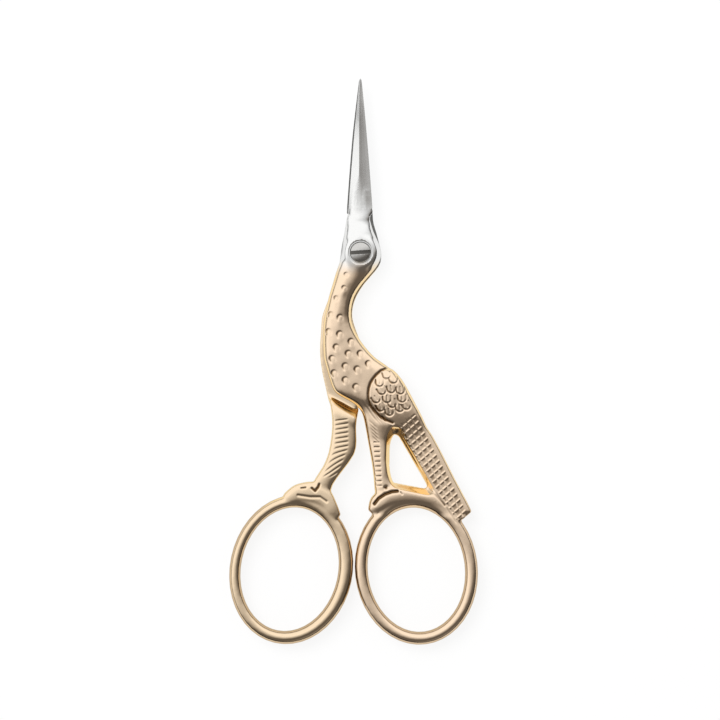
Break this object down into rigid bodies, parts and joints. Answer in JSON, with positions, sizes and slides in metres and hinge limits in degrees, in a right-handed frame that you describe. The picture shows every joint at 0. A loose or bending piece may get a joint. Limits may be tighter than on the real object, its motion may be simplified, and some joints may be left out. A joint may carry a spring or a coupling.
{
  "type": "stork embroidery scissors",
  "caption": "Slim embroidery scissors in the shape of a stork, with pointed blades as the beak, crossed forged halves on a slotted pivot screw and oval finger rings.",
  "frame": {"origin": "on the pivot axis, at the flat round the pivot on the back of the rear half, on which the closed scissors lie", "axes": "+Z along the pivot axis towards the screw head, +Y from the pivot to the blade tips, +X to the side of the wing and the tail"},
  "size_m": [0.0396, 0.0901, 0.0042],
  "materials": {
    "gilt_steel": "gold-plated forged steel handle, polished, with a nickel-plated steel blade",
    "gilt_steel_rear": "gold-plated forged steel handle, polished, with a nickel-plated steel blade",
    "nickel_steel": "nickel-plated turned steel screw, polished"
  },
  "bodies": {
    "rear": {"rear_half": "gilt_steel_rear", "pivot_screw": "nickel_steel"},
    "front": {"front_half": "gilt_steel"}
  },
  "joints": [
    {"name": "pivot", "type": "hinge", "parent": "rear", "child": "front", "pos_m": [0, 0, 0.002], "axis": [0, 0, 1], "range_deg": [0, 140]}
  ]
}
